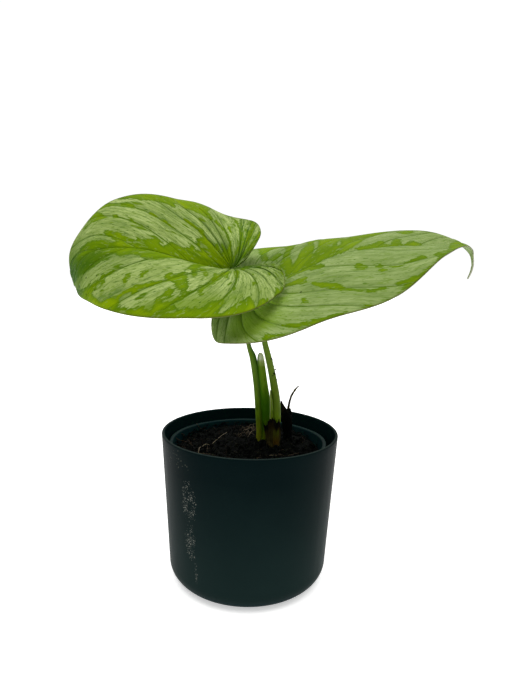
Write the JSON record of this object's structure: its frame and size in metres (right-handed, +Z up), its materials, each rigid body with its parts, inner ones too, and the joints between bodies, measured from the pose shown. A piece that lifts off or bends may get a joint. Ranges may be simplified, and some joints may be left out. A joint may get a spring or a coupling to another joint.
{
  "type": "potted philodendron mamei",
  "caption": "Young potted philodendron with silver-streaked heart-shaped leaves on upright petioles, growing in soil in a grower's pot inside a dark outer pot.",
  "frame": {"origin": "centre of the outer pot's flat underside", "axes": "+Z up along the pot's axis; -Y towards the viewer of the picture, +X to the viewer's right"},
  "size_m": [0.313, 0.1541, 0.303],
  "materials": {
    "outer_pot": "satin dark green plastic with a dried splash",
    "inner_pot": "thin dark green plastic",
    "soil": "dark crumbly peat with fibres",
    "rhizome": "brown bark with root scars",
    "blade": "satin leaf, silver and green streaks between the veins",
    "petiole": "smooth green stalk",
    "shoot": "pale green rolled sheath",
    "sheath": "thin pale sheath edge",
    "dry_tissue": "dry brown torn fibre"
  },
  "bodies": {
    "root": {"outer_pot": "outer_pot", "inner_pot": "inner_pot", "soil": "soil", "rhizome": "rhizome", "leaf_front_blade": "blade", "leaf_back_blade": "blade", "leaf_front_petiole": "petiole", "leaf_back_petiole": "petiole", "new_shoot": "shoot", "back_sheath": "sheath", "dry_sheath": "dry_tissue", "old_stump": "dry_tissue"}
  },
  "joints": []
}
